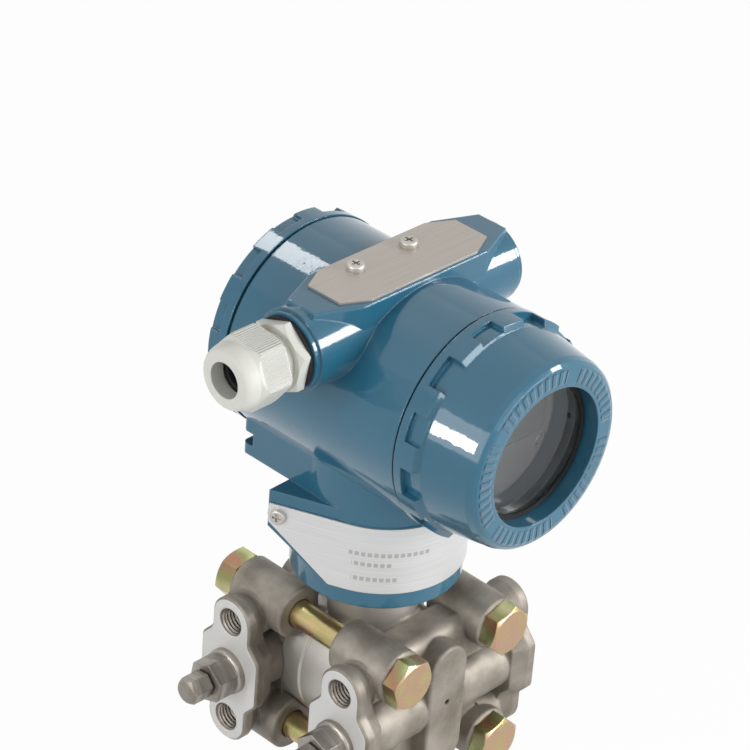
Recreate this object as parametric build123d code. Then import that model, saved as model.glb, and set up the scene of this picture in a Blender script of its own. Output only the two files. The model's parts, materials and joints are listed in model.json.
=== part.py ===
from build123d import *
import math
import os

# Differential pressure transmitter, in millimetres, +Z up.
# It is drawn about the neck axis, with height zero at the pressure ports, the window towards -Y
# and the cable gland towards -X. At the end everything moves so that the origin is the centre of
# the process connection on the +X side.

# Process connection, the same on both sides of the two flanges
port_pitch = 54.0
tapped_pitch = 41.3
connection_x = 42.9
process_tapped_r = 4.7
vent_side_tapped_r = 4.95
tapped_depth = 12.0
countersink = 0.5
port_r = 5.7
port_depth = 14.0
passage_r = 3.0
chamber_passage_r = 2.4

# Process flanges
clamp_y = 18.0
pad_depth = 9.9
pad_straight_depth = 4.0
pad_back_taper_deg = 25.0
pad_inner_round = 3.0
pad_outer_round = 4.0
pad_lobe_r = 9.3
pad_arm_r = 8.5
pad_half_width = 14.3
pad_waist_half_height = 9.0
pad_shoulder_half_height = 14.5
web_half_height = 27.5
web_front_y = 31.3
web_edge_radius = 5.0
port_barrel_r = 11.3
strip_half_width = 9.0
strip_front_y = 38.6
strip_top_z = 25.7
strip_edge_radius = 1.2
pinhole_r = 1.1
pinhole_depth = 3.0
pinhole_z = 2.7
chamber_face_r = 17.0
chamber_face_depth = 2.5
seal_groove_r = 19.5
seal_groove_width = 3.4
seal_groove_depth = 2.0
cast_edge = 0.8

# Flange bolts
bolt_x = 24.2
bolt_z = 24.3
bolt_boss_r = 10.0
bolt_boss_inner_y = 12.0
bolt_seat_y = 37.8
bolt_r = 5.0
bolt_hole_clearance = 0.3
bolt_head_flats = 17.0
bolt_head_height = 6.4
bolt_chamfer = 0.9
bolt_head_turn_deg = 15.0
nut_turn_deg = 10.0
nut_height = 8.0
nut_thread_clearance = 0.05
bolt_end = 3.0

# Sensor module
cell_r = 26.5
cell_clearance = 0.3
weld_y = 8.0
weld_width = 1.6
weld_depth = 0.7
module_neck_r = 16.0
collar_r = 26.6
collar_bottom_z = 44.0
collar_top_z = 62.0
thread_clearance = 0.1
diaphragm_r = 16.5
diaphragm_thickness = 0.5
diaphragm_wave = 0.35
diaphragm_rings = 4

# Vent valves
vent_shoulder_r = 8.6
vent_shoulder_length = 2.7
vent_body_flats = 14.0
vent_body_length = 8.5
vent_stem_flats = 9.0
vent_stem_length = 9.0
vent_stem_r = 3.6
vent_stem_depth = 9.0
vent_ball_r = 2.2
vent_bleed_r = 0.9
vent_body_turn_deg = 20.0
vent_stem_turn_deg = 10.0
running_clearance = 0.05

# Housing casting
neck_r = 30.4
neck_bottom_z = 42.8
neck_cavity_r = 23.0
barrel_r = 39.2
barrel_z = 120.7
barrel_half_length = 39.3
neck_cavity_top_z = barrel_z - 42.7
chamber_r = 33.5
divider_front_y = 16.0
divider_rear_y = 12.0
block_half_width = 30.0
block_front_y = 5.0
block_rear_y = barrel_half_length - 0.8
block_bottom_z = barrel_z - 39.7
block_slot_bottom_z = block_bottom_z + 4.2
block_slot_height = 4.8
block_slot_depth = 5.0
block_edge_radius = 2.0
sensor_passage_r = 4.5
sensor_passage_y = 22.0

# Conduit cross tube
tube_z = barrel_z + 26.0
tube_r = 14.7
tube_rim_r = 13.9
tube_rim_length = 2.0
tube_left_x = 50.5
tube_right_x = 47.0
conduit_r = 9.3

# Top platform and its plate
platform_z = barrel_z + 41.2
platform_bottom_z = platform_z - 11.9
platform_half_length = 45.5
platform_half_width = 13.3
platform_cut_x = 16.5
platform_cut_y = 7.0
plate_thickness = 0.8
plate_half_length = 34.8
plate_half_width = 12.3
plate_cut_x = 9.9
plate_cut_y = 5.0
plate_screw_left_x = -15.0
plate_screw_right_x = 10.0
plate_screw_y = 5.3
plate_screw_r = 1.9
plate_screw_head_r = 3.2
plate_screw_head_height = 2.2
plate_screw_length = 6.0

# Zero and span adjusters under the plate
adjuster_x = 24.5
adjuster_y = -6.0
adjuster_r = 2.2
adjuster_head_r = 3.0
adjuster_head_height = 1.2
adjuster_bore_depth = 6.0
adjuster_travel = 1.2
adjuster_chamfer = 0.4
adjuster_slot_width = 0.8
adjuster_slot_depth = 0.6
adjuster_bottom_gap = 1.4

# Neck tag and the ears that it is screwed to
tag_bottom_z = 50.05
tag_top_z = 76.3
tag_thickness = 0.8
tag_clearance = 0.1
tag_tangent_deg = 203.3
tag_wing_length = 28.8
tag_wing_flat = 6.0
tag_wing_tip_z = 68.9
ear_margin = 1.2
ear_back_x = 29.0
ear_back_y = 17.0
ear_inset = 0.15
ear_root = 5.0
tag_screw_s = 25.2
tag_screw_z = 72.2
tag_screw_r = 1.4
tag_screw_head_r = 2.9
tag_screw_head_height = 1.8
tag_screw_length = 7.0

# Covers
seal_gap = 0.9
seal_recess = 1.0
seal_inner_r = chamber_r + 2.5
seal_outer_r = barrel_r - 0.8
ring_r = barrel_r + 0.4
ring_rim_length = 3.2
lug_length = 5.4
lug_front_slope = 1.2
lug_count = 6
lug_notch_deg = 17.0
lug_notch_start_deg = 10.0
lug_pocket_deg = 15.0
lug_pocket_depth = 1.5
spigot_clearance = 0.25
spigot_length = 11.5
spigot_inner_r = 30.3
front_cover_depth = 30.7
shoulder_r = 37.2
front_nose_r = 34.6
front_nose_radius = 3.5
glass_r = 28.5
glass_thickness = 7.5
glass_clearance = 0.1
window_r = glass_r - 3.4
window_lip = 5.9
window_gasket_inner_r = window_r - 1.8
window_gasket_thickness = 0.8
retainer_length = 3.5
retainer_inner_r = glass_r - 3.5
rear_cover_depth = 10.2
rear_wall = 4.2
rear_edge_chamfer = 1.8

# Display and electronics in the front compartment
pillar_flats = 5.5
pillar_length = 10.0
pillar_circle_r = 25.0
pillar_start_deg = 90.0
board_r = 30.5
board_thickness = 1.6
can_half_width = 14.0
can_half_height = 12.0
can_gap = 2.5
display_r = 28.0
display_front_y = 46.0
display_wall = 2.0
display_window_width = 44.0
display_window_height = 22.0
display_window_z = 3.0
panel_thickness = 2.4
small_screw_r = 1.25
small_screw_head_r = 2.4
small_screw_head_height = 1.7
small_screw_length = 7.0

# Terminals in the rear compartment
terminal_boss_r = 4.5
terminal_boss_length = 4.0
terminal_half_width = 24.0
terminal_half_height = 10.5
terminal_base = 7.0
terminal_barrier_height = 8.0
terminal_barrier = 2.0
terminal_z = barrel_z - 10.7
terminal_pitch = 13.0
terminal_count = 3
terminal_fixing_x = 20.6
terminal_screw_r = 1.9
terminal_screw_head_r = 3.7
terminal_screw_head_height = 2.4
terminal_screw_length = 5.0
terminal_washer_half = 4.2
terminal_washer_thickness = 1.0
terminal_fixing_recess = 3.0
earth_x = 21.0
earth_z = barrel_z + 9.3
earth_boss_length = 6.0

# Cable gland, measured outwards from the end of the tube
gland_washer_r = 12.7
gland_washer_thickness = 1.4
gland_flats = 23.0
gland_hex_length = 4.2
gland_hex_turn_deg = 40.0
gland_spigot_length = 11.0
gland_neck_r = 9.4
gland_neck_end = 17.0
gland_bore_r = 6.9
gland_finger_bore_r = 8.2
gland_finger_length = 6.0
gland_seal_r = 5.0
gland_seal_outer_r = 7.9
gland_nut_start = 9.5
gland_nut_hex_end = 20.8
gland_nut_end = 27.4
gland_nut_flats = 23.6
gland_nut_turn_deg = 7.0
gland_nut_cavity_r = 9.7
gland_mouth_r = 6.3
gland_mouth_rim_r = 9.3
gland_taper_start = 17.5
gland_taper_end = 22.0
gland_seal_gap = 0.3

# Plug in the other conduit entry
plug_length = 12.0
plug_recess = 1.0
plug_socket_flats = 10.0
plug_socket_depth = 6.0


def cylinder_x(radius, x_from, x_to, y=0.0, z=0.0):
    """Cylinder with its axis along X."""
    middle = (x_from + x_to) / 2
    return Pos(middle, y, z) * Rot(0, 90, 0) * Cylinder(radius, abs(x_to - x_from))


def cylinder_y(radius, y_from, y_to, x=0.0, z=0.0):
    """Cylinder with its axis along Y."""
    middle = (y_from + y_to) / 2
    return Pos(x, middle, z) * Rot(90, 0, 0) * Cylinder(radius, abs(y_to - y_from))


def cylinder_z(radius, z_from, z_to, x=0.0, y=0.0):
    """Cylinder with its axis along Z."""
    return Pos(x, y, (z_from + z_to) / 2) * Cylinder(radius, abs(z_to - z_from))


def block(x_range, y_range, z_range):
    """Box between two corners."""
    size = [abs(high - low) for low, high in (x_range, y_range, z_range)]
    middle = [(low + high) / 2 for low, high in (x_range, y_range, z_range)]
    return Pos(*middle) * Box(*size)


def turned_y(points, x=0.0, z=0.0):
    """Solid turned about a line along Y, from a closed outline of (radius, y) points."""
    outline = make_face(Polyline(*points, close=True))
    return Pos(x, 0, z) * revolve(outline, Axis.Y)


def turned_x(points, y=0.0, z=0.0):
    """Solid turned about a line along X, from a closed outline of (x, radius) points."""
    outline = make_face(Polyline(*points, close=True))
    return Pos(0, y, z) * revolve(outline, Axis.X)


def hexagon_x(flats, x_from, x_to, y=0.0, z=0.0, turn=0.0):
    """Hexagonal bar along X; a corner points at the given angle from +Y."""
    section = Plane.YZ * Rot(0, 0, turn) * RegularPolygon(flats / math.sqrt(3), 6)
    bar = extrude(section, x_to - x_from)
    return Pos(x_from, y, z) * bar


def hexagon_y(flats, y_from, y_to, x=0.0, z=0.0, turn=0.0):
    """Hexagonal bar along +Y from y_from to y_to."""
    section = Plane.XZ * Rot(0, 0, turn) * RegularPolygon(flats / math.sqrt(3), 6)
    bar = extrude(section, y_from - y_to)
    return Pos(x, y_from, z) * bar


def octagon(half_length, half_width, cut_x, cut_y):
    """Rectangle with its four corners cut off, seen from above."""
    corners = [
        (half_length, half_width - cut_y),
        (half_length - cut_x, half_width),
        (cut_x - half_length, half_width),
        (-half_length, half_width - cut_y),
        (-half_length, cut_y - half_width),
        (cut_x - half_length, -half_width),
        (half_length - cut_x, -half_width),
        (half_length, cut_y - half_width),
    ]
    return make_face(Polyline(*corners, close=True))


def hex_chamfer_cone(flats, chamfer, y_face, y_back, x, z):
    """Cone that rounds the corners of a hexagon at its face y_face."""
    corner = flats / math.sqrt(3)
    step = math.copysign(1.0, y_back - y_face)
    points = [
        (0, y_face),
        (flats / 2 - chamfer / 2, y_face),
        (corner + chamfer, y_face + step * (corner + chamfer * 1.5 - flats / 2) * 0.6),
        (corner + chamfer, y_back),
        (0, y_back),
    ]
    return turned_y(points, x, z)


def pan_head_screw(shank_r, shank_length, head_r, head_height):
    """Pan-head screw with a cross recess: its head sits on z = 0 and points up."""
    corner = head_height * 0.45
    head = Pos(0, 0, head_height / 2) * Cylinder(head_r, head_height)
    head = fillet(head.edges().sort_by(Axis.Z)[-1], corner)
    shank = Pos(0, 0, -shank_length / 2) * Cylinder(shank_r, shank_length)
    arm = Box(head_r * 1.1, head_r * 0.3, head_height)
    recess = arm + Rot(0, 0, 90) * arm
    return head + shank - Pos(0, 0, head_height) * recess


def both_signs():
    """The four sign pairs of a rectangle's corners."""
    return [(1, 1), (-1, 1), (-1, -1), (1, -1)]


def pad_outline():
    """Outline of a flange pad in its own plane: a waist between two round lobes."""
    half_pitch = tapped_pitch / 2
    waist = [
        (pad_half_width, pad_waist_half_height),
        (pad_lobe_r, pad_shoulder_half_height),
        (-pad_lobe_r, pad_shoulder_half_height),
        (-pad_half_width, pad_waist_half_height),
        (-pad_half_width, -pad_waist_half_height),
        (-pad_lobe_r, -pad_shoulder_half_height),
        (pad_lobe_r, -pad_shoulder_half_height),
        (pad_half_width, -pad_waist_half_height),
    ]
    outline = make_face(Polyline(*waist, close=True)) + Rectangle(2 * pad_lobe_r, tapped_pitch)
    for side in (1, -1):
        outline = outline + Pos(0, side * half_pitch) * Circle(pad_lobe_r)
    outline = offset(offset(outline, pad_inner_round), -pad_inner_round)
    return offset(offset(outline, -pad_outer_round), pad_outer_round)


def flange_pad(side):
    """Pad on one end of the flange: straight behind its machined face, then drawn in towards its back."""
    port_y = -port_pitch / 2
    face_x = side * connection_x
    shoulder_x = face_x - side * pad_straight_depth
    back_depth = pad_depth - pad_straight_depth
    outline = pad_outline()
    plane = Plane(origin=(face_x, port_y, 0), x_dir=(0, 1, 0), z_dir=(-side, 0, 0))
    front = extrude(plane * outline, pad_straight_depth)
    face_edges = front.edges().filter_by_position(Axis.X, face_x, face_x)
    front = chamfer(face_edges, cast_edge)
    plane = Plane(origin=(shoulder_x, port_y, 0), x_dir=(0, 1, 0), z_dir=(-side, 0, 0))
    back = extrude(plane * outline, back_depth, taper=pad_back_taper_deg)
    return front + back


def front_flange_body():
    """Casting of the front flange, before it is drilled."""
    port_y = -port_pitch / 2
    inner_x = connection_x - pad_depth
    web = block((-bolt_x, bolt_x), (-web_front_y, -clamp_y), (-web_half_height, web_half_height))
    front_edges = web.edges().filter_by(Axis.X).sort_by(Axis.Y)[:2]
    body = fillet(front_edges, web_edge_radius)
    body = body + cylinder_x(port_barrel_r, -inner_x - 1, inner_x + 1, port_y, 0)
    for sign_x, sign_z in both_signs():
        boss = cylinder_y(bolt_boss_r, -bolt_seat_y, -bolt_boss_inner_y, sign_x * bolt_x, sign_z * bolt_z)
        rims = boss.edges().filter_by(GeomType.CIRCLE)
        body = body + chamfer(rims, cast_edge)
    for side in (1, -1):
        for sign_z in (1, -1):
            lobe_z = sign_z * tapped_pitch / 2
            body = body + cylinder_x(pad_arm_r, side * bolt_x, side * (inner_x + 1), port_y, lobe_z)
        body = body + flange_pad(side)
    return body + flange_strip()


def flange_strip():
    """Upright strip with round ends on the front of the flange."""
    straight = strip_top_z - strip_half_width
    outline = Rectangle(2 * strip_half_width, 2 * straight)
    for side in (1, -1):
        outline = outline + Pos(0, side * straight) * Circle(strip_half_width)
    strip = extrude(Plane.XZ * outline, strip_front_y - clamp_y)
    strip = Pos(0, -clamp_y, 0) * strip
    front_edges = strip.edges().filter_by_position(Axis.Y, -strip_front_y, -strip_front_y)
    return fillet(front_edges, strip_edge_radius)


def side_bores(side):
    """Tapped holes with countersinks and the pressure port of one pad."""
    port_y = -port_pitch / 2
    face_x = side * connection_x
    bores = cylinder_x(port_r, face_x - side * port_depth, face_x, port_y, 0)
    tapped_r = process_tapped_r if side > 0 else vent_side_tapped_r
    flare_x = face_x - side * countersink
    for sign_z in (1, -1):
        hole_z = sign_z * tapped_pitch / 2
        bores = bores + cylinder_x(tapped_r, face_x - side * tapped_depth, face_x, port_y, hole_z)
        cone = turned_x([(face_x, 0), (face_x, tapped_r + countersink), (flare_x, tapped_r),
                         (flare_x, 0)], port_y, hole_z)
        bores = bores + cone
    return bores


def make_front_flange():
    """Front process flange with its bores, pressure chamber and seal groove."""
    port_y = -port_pitch / 2
    hole_r = bolt_r + bolt_hole_clearance
    body = front_flange_body() - cylinder_y(cell_r + cell_clearance, -clamp_y, 0)
    for sign_x, sign_z in both_signs():
        x = sign_x * bolt_x
        z = sign_z * bolt_z
        body = body - cylinder_y(hole_r, -bolt_seat_y - 1, -bolt_boss_inner_y + 1, x, z)
    for side in (1, -1):
        body = body - side_bores(side)
    body = body - cylinder_x(passage_r, -connection_x + 5, connection_x - 5, port_y, 0)
    body = body - cylinder_y(chamber_passage_r, port_y, -clamp_y)
    body = body - cylinder_y(chamber_face_r, -clamp_y - chamber_face_depth, -clamp_y)
    groove = cylinder_y(seal_groove_r + seal_groove_width, -clamp_y - seal_groove_depth, -clamp_y)
    groove = groove - cylinder_y(seal_groove_r, -clamp_y - seal_groove_depth, -clamp_y)
    body = body - groove
    return body - cylinder_y(pinhole_r, -strip_front_y, -strip_front_y + pinhole_depth, 0, pinhole_z)


def make_front_process_seal():
    """Seal ring pressed flat in the groove of the front flange."""
    outer = seal_groove_r + seal_groove_width
    ring = cylinder_y(outer, -clamp_y - seal_groove_depth, -clamp_y)
    ring = ring - cylinder_y(seal_groove_r, -clamp_y - seal_groove_depth, -clamp_y)
    return fillet(ring.edges().filter_by(GeomType.CIRCLE), seal_groove_depth * 0.3)


def make_front_diaphragm():
    """Thin corrugated disc on the front face of the cell, drawn as a turned wave."""
    steps = 6 * diaphragm_rings
    wave_from = diaphragm_r * 0.3
    wave_to = diaphragm_r * 0.9
    crest = []
    for index in range(steps + 1):
        share = index / steps
        radius = wave_from + (wave_to - wave_from) * share
        lift = diaphragm_wave * (1 - math.cos(2 * math.pi * diaphragm_rings * share)) / 2
        crest.append((radius, -clamp_y - diaphragm_thickness - lift))
    outline = [(0, -clamp_y), (0, -clamp_y - diaphragm_thickness)]
    outline = outline + crest
    outline = outline + [(diaphragm_r, -clamp_y - diaphragm_thickness), (diaphragm_r, -clamp_y)]
    return turned_y(outline)


def make_sensor_module():
    """Welded measuring cell with its neck and the threaded collar in the housing."""
    cell = cylinder_y(cell_r, -clamp_y, clamp_y)
    for side in (1, -1):
        middle = side * weld_y
        low = middle - weld_width / 2
        high = middle + weld_width / 2
        seam = turned_y([(cell_r + 1, low - 1), (cell_r - weld_depth, middle), (cell_r + 1, high + 1)])
        cell = cell - seam
    neck = cylinder_z(module_neck_r, 0, collar_bottom_z)
    collar = cylinder_z(collar_r, collar_bottom_z, collar_top_z)
    collar = chamfer(collar.edges().filter_by(GeomType.CIRCLE), 1.0)
    inside = cylinder_z(module_neck_r - 4, collar_bottom_z, collar_top_z)
    return cell + neck + collar - inside


def make_flange_bolts():
    """Four hexagon bolts, heads at the front."""
    bolts = []
    for sign_x, sign_z in both_signs():
        x = sign_x * bolt_x
        z = sign_z * bolt_z
        end_y = bolt_seat_y + nut_height + bolt_end
        face_y = -bolt_seat_y - bolt_head_height
        turn = sign_x * bolt_head_turn_deg
        head = hexagon_y(bolt_head_flats, face_y, -bolt_seat_y, x, z, turn)
        head = head & hex_chamfer_cone(bolt_head_flats, bolt_chamfer, face_y, -bolt_seat_y + 1, x, z)
        shank = cylinder_y(bolt_r, -bolt_seat_y, end_y, x, z)
        shank = chamfer(shank.edges().sort_by(Axis.Y)[-1], bolt_chamfer)
        bolts.append(head + shank)
    return Compound(bolts)


def make_flange_nuts():
    """Four hexagon nuts at the back."""
    nuts = []
    for sign_x, sign_z in both_signs():
        x = sign_x * bolt_x
        z = sign_z * bolt_z
        outer_y = bolt_seat_y + nut_height
        nut = hexagon_y(bolt_head_flats, bolt_seat_y, outer_y, x, z, nut_turn_deg)
        nut = nut & hex_chamfer_cone(bolt_head_flats, bolt_chamfer, outer_y, bolt_seat_y - 1, x, z)
        nuts.append(nut - cylinder_y(bolt_r + nut_thread_clearance, bolt_seat_y, outer_y, x, z))
    return Compound(nuts)


def make_front_vent_body():
    """Vent valve body screwed in the -X port, with its shoulder and hexagon."""
    port_y = -port_pitch / 2
    face_x = -connection_x
    hex_from = face_x - vent_shoulder_length
    hex_to = hex_from - vent_body_length
    plug = cylinder_x(port_r - thread_clearance, face_x, face_x + port_depth - 2, port_y, 0)
    shoulder = cylinder_x(vent_shoulder_r, hex_from, face_x, port_y, 0)
    shoulder = fillet(shoulder.edges().filter_by(GeomType.CIRCLE).sort_by(Axis.X)[0], 1.2)
    body = plug + shoulder + hexagon_x(vent_body_flats, hex_to, hex_from, port_y, 0, vent_body_turn_deg)
    reach = vent_stem_depth + 2 * vent_ball_r
    body = body - cylinder_x(vent_stem_r + running_clearance, hex_to, hex_to + vent_stem_depth, port_y, 0)
    body = body - cylinder_x(vent_ball_r + 0.3, hex_to, hex_to + reach + 1, port_y, 0)
    body = body - cylinder_x(vent_bleed_r, hex_to, face_x + port_depth, port_y, 0)
    bleed_x = hex_to + vent_body_length * 0.4
    return body - cylinder_z(vent_bleed_r, -vent_body_flats, 0, bleed_x, port_y)


def make_front_vent_stem():
    """Vent stem with its small hexagon outside the body."""
    port_y = -port_pitch / 2
    seat_x = -connection_x - vent_shoulder_length - vent_body_length
    stem = cylinder_x(vent_stem_r, seat_x - 1, seat_x + vent_stem_depth, port_y, 0)
    tip = seat_x - vent_stem_length
    grip = hexagon_x(vent_stem_flats, tip, seat_x - 0.6, port_y, 0, vent_stem_turn_deg)
    corner = vent_stem_flats / math.sqrt(3)
    nose = turned_x([(tip, 0), (tip, corner * 0.8), (tip + 1.4, corner + 0.2), (seat_x, corner + 0.2),
                     (seat_x, 0)], port_y, 0)
    return stem + (grip & nose)


def make_front_vent_ball():
    """Ball that the stem presses on its seat."""
    port_y = -port_pitch / 2
    seat_x = -connection_x - vent_shoulder_length - vent_body_length
    return Pos(seat_x + vent_stem_depth + vent_ball_r, port_y, 0) * Sphere(vent_ball_r)


def wing_frame(side):
    """Plane of a tag wing: x runs outwards along the wing, y is height, z points away from the neck."""
    angle = math.radians(tag_tangent_deg)
    normal = Vector(-side * math.cos(angle), math.sin(angle), 0)
    along = Vector(side * math.sin(angle) * -1, -math.cos(angle), 0)
    return Plane(origin=normal * neck_r, x_dir=along, z_dir=normal)


def housing_ear(side):
    """Cast ear behind one wing of the tag: its profile along the wing, cut by its plan."""
    frame = wing_frame(side)
    tip = tag_wing_length + ear_margin / 2
    low = tag_bottom_z - ear_margin
    tip_low = tag_wing_tip_z - 2 * ear_margin
    profile = [(-ear_root, low), (tag_wing_flat, low), (tip, tip_low), (tip, block_bottom_z),
               (-ear_root, block_bottom_z)]
    corners = [frame.origin + frame.x_dir * along + Vector(0, 0, height) for along, height in profile]
    slab = extrude(make_face(Polyline(*corners, close=True)), neck_r, dir=frame.z_dir, both=True)
    near = frame.origin - frame.z_dir * ear_inset
    far = near + frame.x_dir * tip
    plan = [(near.X, near.Y), (far.X, far.Y), (-side * ear_back_x, ear_back_y), (0, 0)]
    wedge = extrude(make_face(Polyline(*plan, close=True)), block_bottom_z - low)
    return slab & (Pos(0, 0, low) * wedge)


def housing_outside():
    """Outer form of the housing casting."""
    barrel = cylinder_y(barrel_r, -barrel_half_length, barrel_half_length, 0, barrel_z)
    neck = cylinder_z(neck_r, neck_bottom_z, barrel_z - barrel_r / 4)
    neck = chamfer(neck.edges().sort_by(Axis.Z)[0], cast_edge)
    foot = block((-block_half_width, block_half_width), (-block_front_y, block_rear_y),
                 (block_bottom_z, barrel_z - barrel_r / 2))
    foot = fillet(foot.edges().filter_by(Axis.Z).sort_by(Axis.Y)[-2:], block_edge_radius)
    slot_top = block_slot_bottom_z + block_slot_height
    slot = block((-block_half_width - 1, block_half_width + 1),
                 (block_rear_y - block_slot_depth, block_rear_y + 1), (block_slot_bottom_z, slot_top))
    tube = cylinder_x(tube_r, -tube_left_x + tube_rim_length, tube_right_x - tube_rim_length, 0, tube_z)
    rims = cylinder_x(tube_rim_r, -tube_left_x, tube_right_x, 0, tube_z)
    top = extrude(octagon(platform_half_length, platform_half_width, platform_cut_x, platform_cut_y),
                  platform_z - platform_bottom_z)
    top = fillet(top.edges().group_by(Axis.Z)[-1], cast_edge)
    top = Pos(0, 0, platform_bottom_z) * top
    shape = barrel + neck + (foot - slot) + tube + rims + top
    for side in (1, -1):
        shape = shape + housing_ear(side)
    return shape


def housing_hollows():
    """Compartments, neck cavity and conduit bores, as one solid to cut."""
    hollow = cylinder_y(chamber_r, -barrel_half_length, -divider_front_y, 0, barrel_z)
    hollow = hollow + cylinder_y(chamber_r, -divider_rear_y, barrel_half_length, 0, barrel_z)
    for face_y in (-barrel_half_length, barrel_half_length):
        inward = math.copysign(seal_recess, -face_y)
        hollow = hollow + cylinder_y(seal_outer_r, face_y + inward, face_y, 0, barrel_z)
    hollow = hollow + cylinder_z(collar_r + thread_clearance, neck_bottom_z, collar_top_z + 2)
    hollow = hollow + cylinder_z(neck_cavity_r, collar_top_z, neck_cavity_top_z)
    passage_top_z = barrel_z - chamber_r + 4
    passage = cylinder_z(sensor_passage_r, neck_cavity_top_z - 2, passage_top_z, 0, -sensor_passage_y)
    return hollow + passage + cylinder_x(conduit_r, -tube_left_x, tube_right_x, 0, tube_z)


def pillar_places():
    """Angles and places of the three board pillars, as (x, z)."""
    places = []
    for index in range(3):
        angle = math.radians(pillar_start_deg + 120 * index)
        places.append((pillar_circle_r * math.cos(angle), barrel_z + pillar_circle_r * math.sin(angle)))
    return places


def make_electronics_housing():
    """Housing casting with its two compartments, bosses and tapped holes."""
    shape = housing_outside() - housing_hollows()
    boss_root = -divider_rear_y - 1
    boss_end = -divider_rear_y + terminal_boss_length
    hole_r = small_screw_r + thread_clearance
    for side in (1, -1):
        x = side * terminal_fixing_x
        shape = shape + cylinder_y(terminal_boss_r, boss_root, boss_end, x, terminal_z)
        shape = shape - cylinder_y(hole_r, boss_root, boss_end, x, terminal_z)
    earth_end = -divider_rear_y + earth_boss_length
    earth_hole_r = terminal_screw_r + thread_clearance
    shape = shape + cylinder_y(terminal_boss_r, boss_root, earth_end, earth_x, earth_z)
    shape = shape - cylinder_y(earth_hole_r, -divider_rear_y, earth_end, earth_x, earth_z)
    plate_hole_r = plate_screw_r + thread_clearance
    for x in (plate_screw_left_x, plate_screw_right_x):
        bottom = platform_z - plate_screw_length
        shape = shape - cylinder_z(plate_hole_r, bottom, platform_z, x, plate_screw_y)
    bore_r = adjuster_r + running_clearance
    counterbore_r = adjuster_head_r + running_clearance
    counterbore = adjuster_head_height + adjuster_travel
    for side in (1, -1):
        x = side * adjuster_x
        bottom = platform_z - adjuster_bore_depth
        shape = shape - cylinder_z(bore_r, bottom, platform_z, x, adjuster_y)
        shape = shape - cylinder_z(counterbore_r, platform_z - counterbore, platform_z, x, adjuster_y)
        shape = shape - tag_screw_hole(side)
    return shape


def tag_screw_hole(side):
    """Tapped hole in an ear for the tag screw."""
    plane = wing_frame(side)
    mouth = plane.origin + plane.x_dir * tag_screw_s + Vector(0, 0, tag_screw_z)
    place = Plane(origin=mouth, z_dir=plane.z_dir)
    depth = tag_screw_length
    return place * Pos(0, 0, -depth / 2) * Cylinder(tag_screw_r + thread_clearance, depth)


def make_neck_tag():
    """Thin tag wrapped round the front of the neck, with a straight wing on each side."""
    inner = neck_r + tag_clearance
    outer = inner + tag_thickness
    band = cylinder_z(outer, tag_bottom_z, tag_top_z) - cylinder_z(inner, tag_bottom_z, tag_top_z)
    reach = 2 * neck_r
    angle = math.radians(tag_tangent_deg)
    left = (reach * math.cos(angle), reach * math.sin(angle))
    right = (-left[0], left[1])
    sector = make_face(Polyline((0, 0), left, (left[0], -reach), (right[0], -reach), right, close=True))
    tag = band & (Pos(0, 0, tag_bottom_z) * extrude(sector, tag_top_z - tag_bottom_z))
    for side in (1, -1):
        tag = tag + tag_wing(side)
    return tag


def tag_wing(side):
    """One straight wing of the tag, with its screw hole."""
    frame = wing_frame(side)
    start = frame.origin + frame.z_dir * tag_clearance
    along = frame.x_dir
    tip_mid = (tag_wing_tip_z + tag_top_z) / 2
    outline = [(0, tag_bottom_z), (tag_wing_flat, tag_bottom_z), (tag_wing_length, tag_wing_tip_z),
               (tag_wing_length + ear_margin * 0.4, tip_mid), (tag_wing_length, tag_top_z), (0, tag_top_z)]
    corners = []
    for distance, height in outline:
        corners.append(start + along * distance + Vector(0, 0, height))
    face = make_face(Polyline(*corners, close=True))
    direction = frame.z_dir * tag_thickness
    wing = Solid.extrude(face.faces()[0], direction)
    mouth = frame.origin + along * tag_screw_s + Vector(0, 0, tag_screw_z)
    hole = Plane(origin=mouth, z_dir=frame.z_dir) * Cylinder(tag_screw_r + 0.3, 8)
    return wing - hole


def make_tag_screws():
    """Two pan-head screws through the wings of the tag."""
    screws = []
    for side in (1, -1):
        frame = wing_frame(side)
        lift = tag_clearance + tag_thickness
        seat = frame.origin + frame.x_dir * tag_screw_s + Vector(0, 0, tag_screw_z) + frame.z_dir * lift
        screw = pan_head_screw(tag_screw_r, tag_screw_length, tag_screw_head_r, tag_screw_head_height)
        screws.append(Plane(origin=seat, z_dir=frame.z_dir) * screw)
    return Compound(screws)


def lug_cutters(ring_from, ring_to):
    """Deep notches and shallow pockets in turn round a cover's grip ring, between its lugs."""
    cutters = []
    pitch = 360 / lug_count
    pocket_floor = ring_r - lug_pocket_depth
    far = ring_r * 1.2
    for index in range(lug_count):
        notch_angle = lug_notch_start_deg + index * pitch
        pocket_angle = notch_angle + pitch / 2
        cutters.append(ring_sector(shoulder_r, far, ring_from, ring_to, notch_angle, lug_notch_deg))
        cutters.append(ring_sector(pocket_floor, far, ring_from, ring_to, pocket_angle, lug_pocket_deg))
    return cutters


def ring_sector(inner, outer, y_from, y_to, middle_deg, width_deg):
    """Piece of a ring about the barrel axis, width_deg wide."""
    half = math.radians(width_deg / 2)
    middle = math.radians(middle_deg)
    corners = [(0, 0)]
    for angle in (middle - half, middle, middle + half):
        corners.append((1.3 * outer * math.cos(angle), 1.3 * outer * math.sin(angle)))
    wedge = extrude(Plane.XZ * make_face(Polyline(*corners, close=True)), -abs(y_to - y_from))
    wedge = Pos(0, min(y_from, y_to), 0) * wedge
    ring = cylinder_y(outer, y_from, y_to) - cylinder_y(inner, y_from, y_to)
    return Pos(0, 0, barrel_z) * (ring & wedge)


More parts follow.
